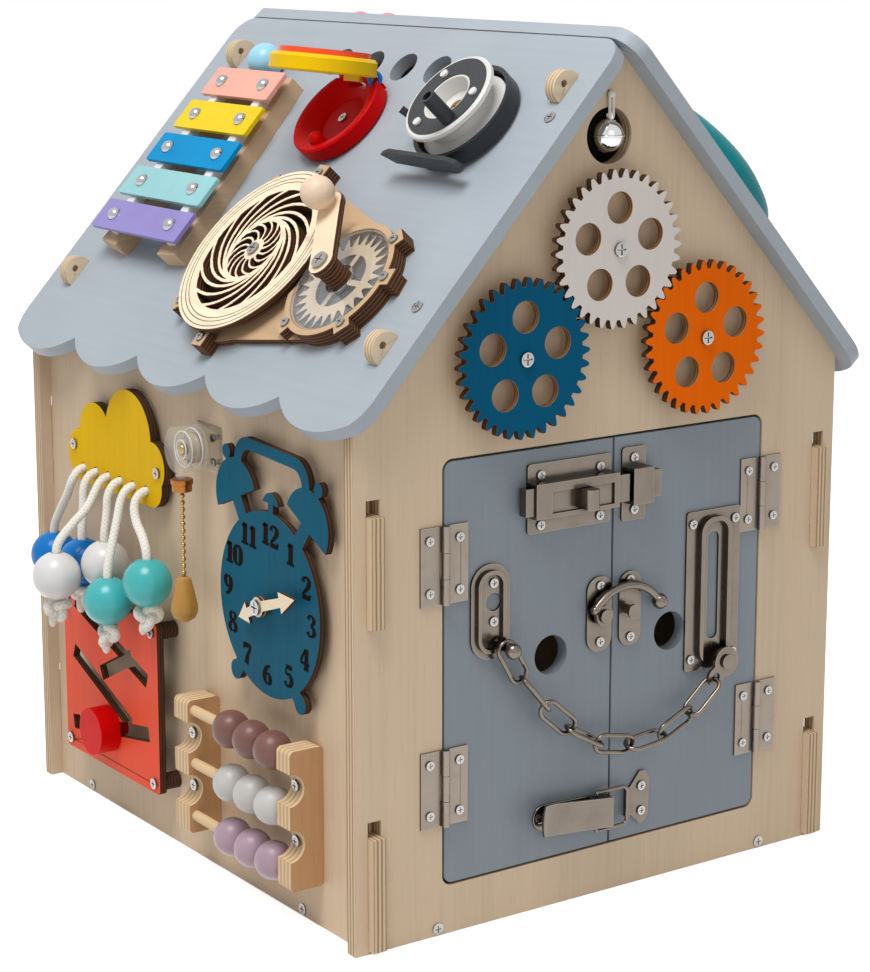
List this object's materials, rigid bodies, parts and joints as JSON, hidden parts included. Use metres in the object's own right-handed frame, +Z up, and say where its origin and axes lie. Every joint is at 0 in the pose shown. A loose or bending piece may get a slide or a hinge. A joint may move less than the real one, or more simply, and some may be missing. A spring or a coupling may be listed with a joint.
{
  "type": "wooden activity house",
  "caption": "Wooden activity house with double latched doors, meshing gears, clock, abacus, maze, rope beads and roof toys, standing on a flat base.",
  "frame": {"origin": "centre of the base at floor level", "axes": "+Z up; the doors face -Y; the wall with clock, maze and abacus faces -X"},
  "size_m": [0.4004, 0.3908, 0.4764],
  "materials": {
    "birch_ply": "clear satin birch plywood",
    "roof_paint": "satin blue-grey paint on plywood",
    "door_paint": "satin blue-grey paint on plywood",
    "steel_fixings": "satin nickel",
    "latch_metal": "satin nickel, slightly warm",
    "bell_metal": "polished with a thin cord",
    "gear_blue": "painted plywood, burnt edges",
    "gear_white": "painted plywood, burnt edges",
    "gear_orange": "painted plywood, burnt edges",
    "cloud_yellow": "painted plywood, burnt edges",
    "rope_white": "twisted cotton rope",
    "bead_blue": "gloss lacquer",
    "bead_white": "gloss lacquer",
    "bead_teal": "gloss lacquer",
    "switch_shell": "translucent off-white",
    "switch_brass": "aged brass",
    "pull_bob": "amber gloss",
    "clock_blue": "painted plywood, burnt edges",
    "pale_ply": "bare birch plywood, burnt edges",
    "maze_red": "painted plywood, burnt edges",
    "knob_red": "gloss",
    "abacus_mauve": "gloss lacquer",
    "abacus_white": "gloss lacquer",
    "abacus_lilac": "gloss lacquer",
    "xylo_wood": "bare wood rails with white strips",
    "xylo_paint": "gloss enamel, one colour per bar",
    "clapper_red": "gloss",
    "clapper_yellow": "gloss, with an orange disc",
    "knob_paint": "gloss lacquer, one colour per knob",
    "reel_black": "satin black",
    "reel_white": "white with a black face ring",
    "clear_window": "clear sheet"
  },
  "bodies": {
    "house": {"front_wall": "birch_ply", "back_wall": "birch_ply", "left_wall": "birch_ply", "right_wall": "birch_ply", "floor_panel": "birch_ply", "left_roof": "roof_paint", "right_roof": "roof_paint", "house_screws": "steel_fixings", "wall_hinge_leaves": "steel_fixings", "cloud_board": "cloud_yellow", "switch_body": "switch_shell", "switch_collar": "switch_brass", "clock_face": "clock_blue", "maze_board": "maze_red", "abacus_frame": "pale_ply", "xylophone_frame": "xylo_wood", "xylophone_bars": "xylo_paint", "roof_eyelets": "pale_ply", "clapper_base": "clapper_red", "roof_knobs": "knob_paint", "reel_frame": "reel_black", "spiral_base": "pale_ply", "crank_cover": "clear_window"},
    "left_door": {"left_door": "door_paint", "left_hinge_leaves": "steel_fixings", "left_door_screws": "steel_fixings", "bolt_housing": "latch_metal", "hook_base": "latch_metal", "chain_anchor": "latch_metal", "toggle_base": "latch_metal", "door_chain": "latch_metal"},
    "right_door": {"right_door": "door_paint", "right_hinge_leaves": "steel_fixings", "right_door_screws": "steel_fixings", "door_keepers": "latch_metal", "chain_track": "latch_metal"},
    "bolt": {"bolt_slide": "latch_metal"},
    "hook": {"hook_arm": "latch_metal"},
    "draw_lever": {"toggle_lever": "latch_metal"},
    "draw_loop": {"toggle_loop": "latch_metal"},
    "white_gear": {"white_gear": "gear_white"},
    "blue_gear": {"blue_gear": "gear_blue"},
    "orange_gear": {"orange_gear": "gear_orange"},
    "bell": {"bell": "bell_metal"},
    "hanging_beads": {"bead_ropes": "rope_white", "blue_beads": "bead_blue", "white_beads": "bead_white", "teal_beads": "bead_teal"},
    "pull_cord": {"pull_chain": "switch_brass", "pull_knob": "pull_bob"},
    "hour_hand": {"hour_hand": "pale_ply"},
    "minute_hand": {"minute_hand": "pale_ply"},
    "maze_knob": {"maze_knob": "knob_red"},
    "abacus_top": {"abacus_beads_top": "abacus_mauve"},
    "abacus_middle": {"abacus_beads_middle": "abacus_white"},
    "abacus_bottom": {"abacus_beads_bottom": "abacus_lilac"},
    "clapper_lid": {"clapper_lid": "clapper_yellow"},
    "reel_spool": {"reel_spool": "reel_white"},
    "crank": {"crank": "pale_ply"},
    "spiral_disc": {"spiral_disc": "pale_ply"}
  },
  "joints": [
    {"name": "left_door_swing", "type": "hinge", "parent": "house", "child": "left_door", "pos_m": [-0.1093, -0.1823, 0.143], "axis": [0, 0, -1], "range_deg": [0, 110], "deforming": ["door_chain"]},
    {"name": "right_door_swing", "type": "hinge", "parent": "house", "child": "right_door", "pos_m": [0.1093, -0.1823, 0.143], "axis": [0, 0, 1], "range_deg": [0, 110]},
    {"name": "bolt_slide", "type": "slide", "parent": "left_door", "child": "bolt", "axis": [-1, 0, 0], "range_m": [-0.014, 0.017]},
    {"name": "hook_swing", "type": "hinge", "parent": "left_door", "child": "hook", "pos_m": [-0.0065, -0.185, 0.161], "axis": [0, -1, 0], "range_deg": [0, 95]},
    {"name": "draw_lever_swing", "type": "hinge", "parent": "left_door", "child": "draw_lever", "pos_m": [-0.003, -0.1855, 0.0496], "axis": [0, 0, 1], "range_deg": [0, 100]},
    {"name": "draw_loop_swing", "type": "hinge", "parent": "draw_lever", "child": "draw_loop", "pos_m": [-0.01, -0.1855, 0.0496], "axis": [0, 0, 1], "range_deg": [-100, 0]},
    {"name": "white_gear_spin", "type": "hinge", "parent": "house", "child": "white_gear", "pos_m": [-0.003, -0.187, 0.361], "axis": [0, 1, 0], "continuous": true},
    {"name": "blue_gear_spin", "type": "hinge", "parent": "house", "child": "blue_gear", "pos_m": [-0.06435, -0.187, 0.30842], "axis": [0, 1, 0], "continuous": true},
    {"name": "orange_gear_spin", "type": "hinge", "parent": "house", "child": "orange_gear", "pos_m": [0.05835, -0.187, 0.30842], "axis": [0, 1, 0], "continuous": true},
    {"name": "bell_swing", "type": "hinge", "parent": "house", "child": "bell", "pos_m": [-0.003, -0.1816, 0.442], "axis": [0, 1, 0], "range_deg": [-12, 12]},
    {"name": "beads_swing", "type": "hinge", "parent": "house", "child": "hanging_beads", "pos_m": [-0.168, 0.075, 0.2096], "axis": [0, 1, 0], "range_deg": [0, 45], "deforming": ["bead_ropes"]},
    {"name": "pull_slide", "type": "slide", "parent": "house", "child": "pull_cord", "axis": [0, 0, -1], "range_m": [0, 0.008], "stiffness_N_per_m": 200},
    {"name": "hour_hand_turn", "type": "hinge", "parent": "house", "child": "hour_hand", "pos_m": [-0.166, -0.097, 0.172], "axis": [-1, 0, 0], "continuous": true},
    {"name": "minute_hand_turn", "type": "hinge", "parent": "house", "child": "minute_hand", "pos_m": [-0.168, -0.097, 0.172], "axis": [-1, 0, 0], "continuous": true},
    {"name": "maze_knob_slide", "type": "slide", "parent": "house", "child": "maze_knob", "axis": [0, -0.9847, 0.1744], "range_m": [-0.036, 0.04]},
    {"name": "abacus_top_slide", "type": "slide", "parent": "house", "child": "abacus_top", "axis": [0, 1, 0], "range_m": [0, 0.029]},
    {"name": "abacus_middle_slide", "type": "slide", "parent": "house", "child": "abacus_middle", "axis": [0, 1, 0], "range_m": [0, 0.029]},
    {"name": "abacus_bottom_slide", "type": "slide", "parent": "house", "child": "abacus_bottom", "axis": [0, 1, 0], "range_m": [0, 0.029]},
    {"name": "clapper_lid_swing", "type": "hinge", "parent": "house", "child": "clapper_lid", "pos_m": [-0.0428, 0, 0.44291], "axis": [0, -1, 0], "range_deg": [-45, 46]},
    {"name": "reel_spin", "type": "hinge", "parent": "house", "child": "reel_spool", "pos_m": [-0.05632, -0.1185, 0.4325], "axis": [-0.7396, 0, 0.673], "continuous": true},
    {"name": "crank_turn", "type": "hinge", "parent": "house", "child": "crank", "pos_m": [-0.13035, -0.1125, 0.34817], "axis": [-0.7396, 0, 0.673], "continuous": true},
    {"name": "spiral_spin", "type": "hinge", "parent": "house", "child": "spiral_disc", "pos_m": [-0.12706, -0.026, 0.3518], "axis": [-0.7396, 0, 0.673], "continuous": true}
  ],
  "couplings": [
    {"joint": "right_door_swing", "follows": "left_door_swing", "ratio": 1},
    {"joint": "draw_loop_swing", "follows": "draw_lever_swing", "ratio": -1},
    {"joint": "blue_gear_spin", "follows": "white_gear_spin", "ratio": -1},
    {"joint": "orange_gear_spin", "follows": "white_gear_spin", "ratio": -1},
    {"joint": "spiral_spin", "follows": "crank_turn", "ratio": -0.6}
  ]
}
